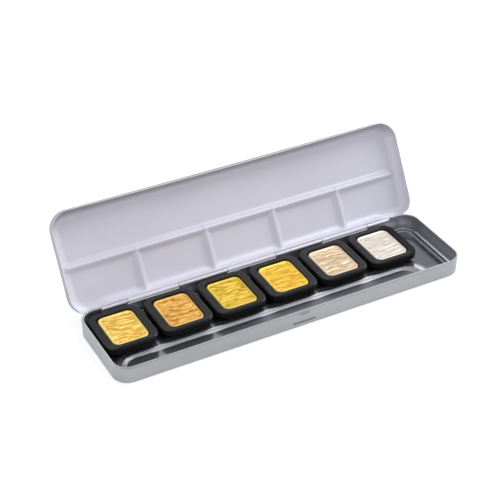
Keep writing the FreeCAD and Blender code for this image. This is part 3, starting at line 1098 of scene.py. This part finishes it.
def make_cakes():
    tree = cake_tree()
    low, high = CAKE_LEVELS
    half_x, half_y = (side - CAKE_EDGE for side in CAKE_HALF)
    corner = CAKE_CORNER - CAKE_EDGE
    columns = [place / half_x for place in graded(((-half_x, CAKE_SPACING),), half_x)]
    middle = graded(((-half_y, CAKE_SPACING),), half_y)
    plan = Plan(half_x, half_y, corner, columns, corner_rows(half_y, corner, CAKE_CORNER_ROWS, middle))
    rings = [(CAKE_EDGE * math.sin(turn), high - CAKE_EDGE * (1 - math.cos(turn)))
             for turn in np.linspace(0, QUARTER, CAKE_EDGE_RINGS + 1)[1:]]
    for share in CAKE_WALL_SHARES:
        sink = (high - CAKE_EDGE - low) * share
        rings.append((CAKE_EDGE - CAKE_TAPER * share, high - CAKE_EDGE - sink))
    from_rim = -round_box(plan.x, plan.y, (0, 0), (half_x, half_y), corner)
    top = np.full(plan.x.shape, high) - CAKE_DISH * step(from_rim, *CAKE_DISH_RUN)
    under = np.full(plan.x.shape, low)
    inside = np.zeros(plan.x.size * 2 + len(plan.loop) * len(rings))
    inside[:plan.x.size] = step(from_rim, *FURROW_RUN).ravel()
    for index, place in enumerate(PAN_X):
        number = str(index + 1)
        form = closed_sheet("cake_form", plan, rings, top, under, (), [plastic])
        carry(form, "inside", inside)
        lean, depth, warp, crumple = FURROWS[index]
        mesh = tree.run(form, {
            "Pitch": 1 / (FURROW_PITCH * MM), "Depth": depth * MM, "Warp": warp, "Lean": lean,
            "Crumple": crumple, "Shift": FURROW_SHIFT * index + FURROW_START,
            "Material": paint_finishes[index]})
        well = Vector((place + CAKE_SHIFT[0], PAN_Y + CAKE_SHIFT[1], 0))
        mesh.transform(Matrix.Translation(well * MM))
        smooth(mesh, degrees=60)
        piece("paint_cake_" + number, mesh, "pan_body_" + number,
              "paint_" + paints[index][0], "paint_" + number)


def finish_nodes():
    """Gives the solids that stay in sight their finish."""
    finishes = {"pan": plastic, "pad": foam}
    for name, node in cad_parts.items():
        node.data.materials.clear()
        node.data.materials.append(finishes.get(name.split("_")[0], tin_outside))


# Floor, light and camera
def seen(finish):
    """1 for rays that show a thing directly, in a mirror or through glass, 0 for rays that only light."""
    names = ("Is Camera Ray", "Is Glossy Ray", "Is Transmission Ray")
    camera, mirror, through = finish.outputs("ShaderNodeLightPath", names)
    return camera + mirror + through


def lit_background():
    """White to the eye, and a little weaker as a light."""
    world = bpy.data.worlds.new("studio")
    bpy.context.scene.world = world
    world.use_nodes = True
    finish = Finish(world.node_tree)
    soft = finish.node("ShaderNodeBackground", None,
                       {"Color": rgb(0.97, 0.98, 1.0), "Strength": SKY_LIGHT})
    white = finish.node("ShaderNodeBackground", None, {"Color": rgb(1, 1, 1), "Strength": SKY_SEEN})
    both = finish.node("ShaderNodeMixShader", None, {0: seen(finish), 1: soft, 2: white})
    finish.node("ShaderNodeOutputWorld", None, {"Surface": both})


def floor_finish():
    """Pale and matt, with a glow that is seen but lights nothing."""
    material = bpy.data.materials.new("pale_floor")
    material.use_nodes = True
    finish = Finish(material.node_tree)
    speck = finish.noise((0.05, 0.05, 0.05), 2.0)
    matt = finish.node("ShaderNodeBsdfDiffuse", None,
                       {"Color": finish.mix(speck, rgb(0.82, 0.82, 0.82), rgb(0.84, 0.84, 0.84))})
    glow = finish.node("ShaderNodeEmission", None, {"Color": rgb(1, 1, 1), "Strength": FLOOR_GLOW})
    lit = finish.node("ShaderNodeAddShader", None, {0: matt, 1: glow})
    both = finish.node("ShaderNodeMixShader", None, {0: seen(finish), 1: matt, 2: lit})
    finish.node("ShaderNodeOutputMaterial", None, {"Surface": both})
    return material


def make_floor():
    half = FLOOR_HALF * MM
    mesh = bpy.data.meshes.new("floor")
    mesh.from_pydata([(-half, -half, 0), (half, -half, 0), (half, half, 0), (-half, half, 0)],
                     [], [(0, 1, 2, 3)])
    mesh.materials.append(floor_finish())
    floor = placed("floor", mesh)


def lamp(name, place, aim, size, power):
    """Round area lamp; places and size in metres, power in watts."""
    light = bpy.data.lights.new(name, "AREA")
    light.shape = "DISK"
    light.size = size
    light.energy = power
    made = placed(name, light)
    made.location = Vector(place)
    made.rotation_mode = "QUATERNION"
    made.rotation_quaternion = (Vector(aim) - Vector(place)).to_track_quat("-Z", "Y")


def make_camera():
    azimuth = math.radians(CAMERA_AZIMUTH)
    elevation = math.radians(CAMERA_ELEVATION)
    roll = math.radians(CAMERA_ROLL)
    back = Vector((math.sin(azimuth) * math.cos(elevation), -math.cos(azimuth) * math.cos(elevation),
                   math.sin(elevation)))
    level = Vector((math.cos(azimuth), math.sin(azimuth), 0))
    upward = back.cross(level)
    right = level * math.cos(roll) + upward * math.sin(roll)
    top = upward * math.cos(roll) - level * math.sin(roll)
    data = bpy.data.cameras.new("camera")
    data.sensor_width = CAMERA_SENSOR
    data.lens = FOCAL_PIXELS / PHOTO_PIXELS * CAMERA_SENSOR
    data.clip_start, data.clip_end = (distance * MM for distance in CAMERA_CLIP)
    camera = placed("camera", data)
    spot = back * (CAMERA_DISTANCE * MM) + right * (CAMERA_ASIDE * MM) + top * (CAMERA_ABOVE * MM)
    camera.matrix_world = Matrix.Translation(spot) @ Matrix((right, top, back)).transposed().to_4x4()
    bpy.context.scene.camera = camera


make_base()
make_lid()
make_knuckles()
make_cakes()
finish_nodes()
lit_background()
make_floor()
lamp("key", place=(0.68, 0.08, 0.88), aim=(0.0, 0.02, 0.02), size=0.9, power=7.9)
lamp("fill", place=(-0.92, -0.32, 0.4), aim=(0.0, 0.02, 0.03), size=0.9, power=0.6)
make_camera()
bpy.context.scene.view_settings.view_transform = "Standard"
